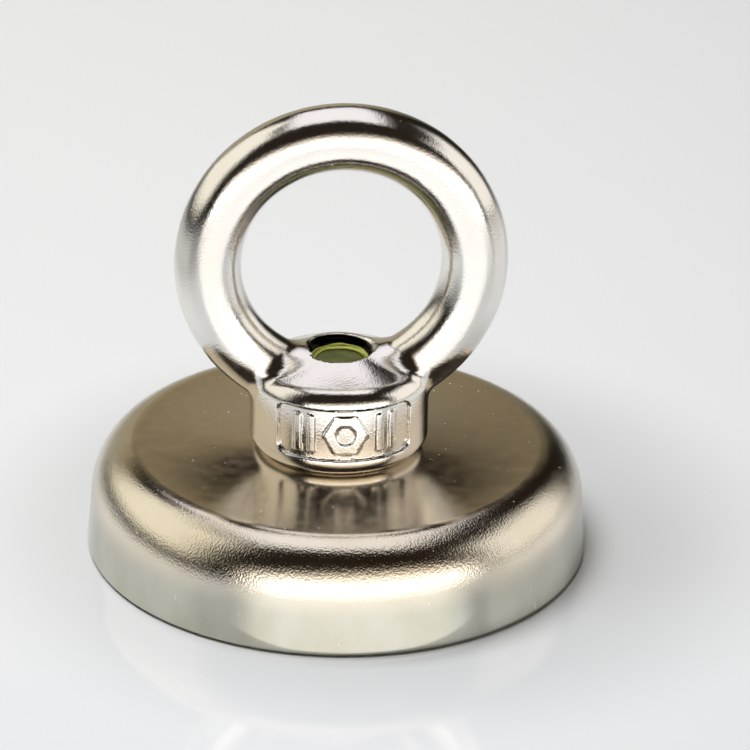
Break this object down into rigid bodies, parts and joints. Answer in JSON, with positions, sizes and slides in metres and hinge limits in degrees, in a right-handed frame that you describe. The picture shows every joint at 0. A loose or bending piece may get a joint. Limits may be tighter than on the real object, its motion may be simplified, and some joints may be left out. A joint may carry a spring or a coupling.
{
  "type": "magnet fishing magnet",
  "caption": "Round steel pot magnet with a screwed-on eye nut: rope ties through the ring, and the open face grips steel under water.",
  "frame": {"origin": "centre of the magnetic face, on the plane of the cup's rim", "axes": "+Z away from the gripped surface, up through the eye; the eye's ring lies in the XZ plane, so rope passes through it along Y"},
  "size_m": [0.042, 0.042, 0.0392],
  "materials": {
    "cup_nickel": "warm nickel plate over pressed steel, slightly soft mirror with fine grain on the rounded edge",
    "magnet_nickel": "satin nickel plate over sintered neodymium",
    "glue": "cured epoxy",
    "black_resin": "cast black epoxy, slightly wavy gloss",
    "screw_nickel": "nickel-plated steel",
    "thread_lock": "cured green thread-retaining compound",
    "eye_nickel": "bright nickel plate over a polished casting"
  },
  "bodies": {
    "magnet_pot": {"steel_cup": "cup_nickel", "ring_magnet": "magnet_nickel", "magnet_glue_film": "glue", "outer_epoxy_seal": "black_resin", "inner_epoxy_seal": "black_resin", "socket_screw": "screw_nickel"},
    "thread_lock": {"thread_lock_bead": "thread_lock"},
    "eye_nut": {"eye_nut": "eye_nickel"}
  },
  "joints": [
    {"name": "eye_nut_lift", "type": "slide", "parent": "magnet_pot", "child": "thread_lock", "axis": [0, 0, 1], "range_m": [0, 0.00676]},
    {"name": "eye_nut_turn", "type": "hinge", "parent": "thread_lock", "child": "eye_nut", "pos_m": [0, 0, 0.0092], "axis": [0, 0, 1], "range_deg": [0, 2430]}
  ],
  "couplings": [
    {"joint": "eye_nut_lift", "follows": "eye_nut_turn", "m_per_rad": 0.00015915}
  ]
}
